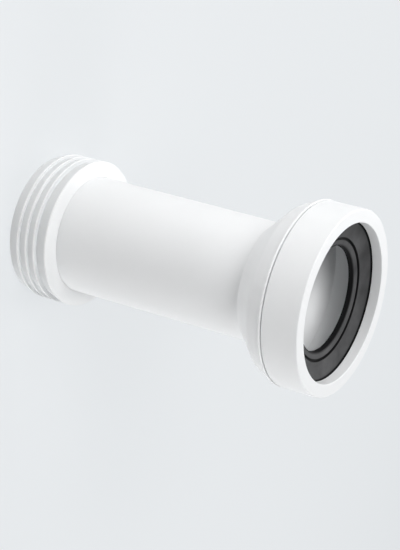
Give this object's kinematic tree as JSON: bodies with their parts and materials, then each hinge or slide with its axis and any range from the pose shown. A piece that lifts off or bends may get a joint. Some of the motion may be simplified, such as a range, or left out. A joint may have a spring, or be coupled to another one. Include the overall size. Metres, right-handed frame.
{
  "type": "toilet pan connector",
  "caption": "Straight white plastic tube with a ringed pan socket and black rubber lip seal at one end and a barbed soft cuff at the other, joining a toilet to a soil pipe.",
  "frame": {"origin": "centre of the outlet end face, which it stands on", "axes": "+Z along the tube's axis, from the outlet end up to the pan socket; X and Y are free, it is round"},
  "size_m": [0.1372, 0.1372, 0.255],
  "materials": {
    "white_plastic": "smooth satin",
    "ring_plastic": "smooth satin",
    "black_rubber": "matt moulded",
    "soft_white_plastic": "soft satin"
  },
  "bodies": {
    "root": {"connector_body": "white_plastic", "retaining_ring": "ring_plastic", "pan_seal": "black_rubber", "outlet_cuff": "soft_white_plastic"}
  },
  "joints": []
}
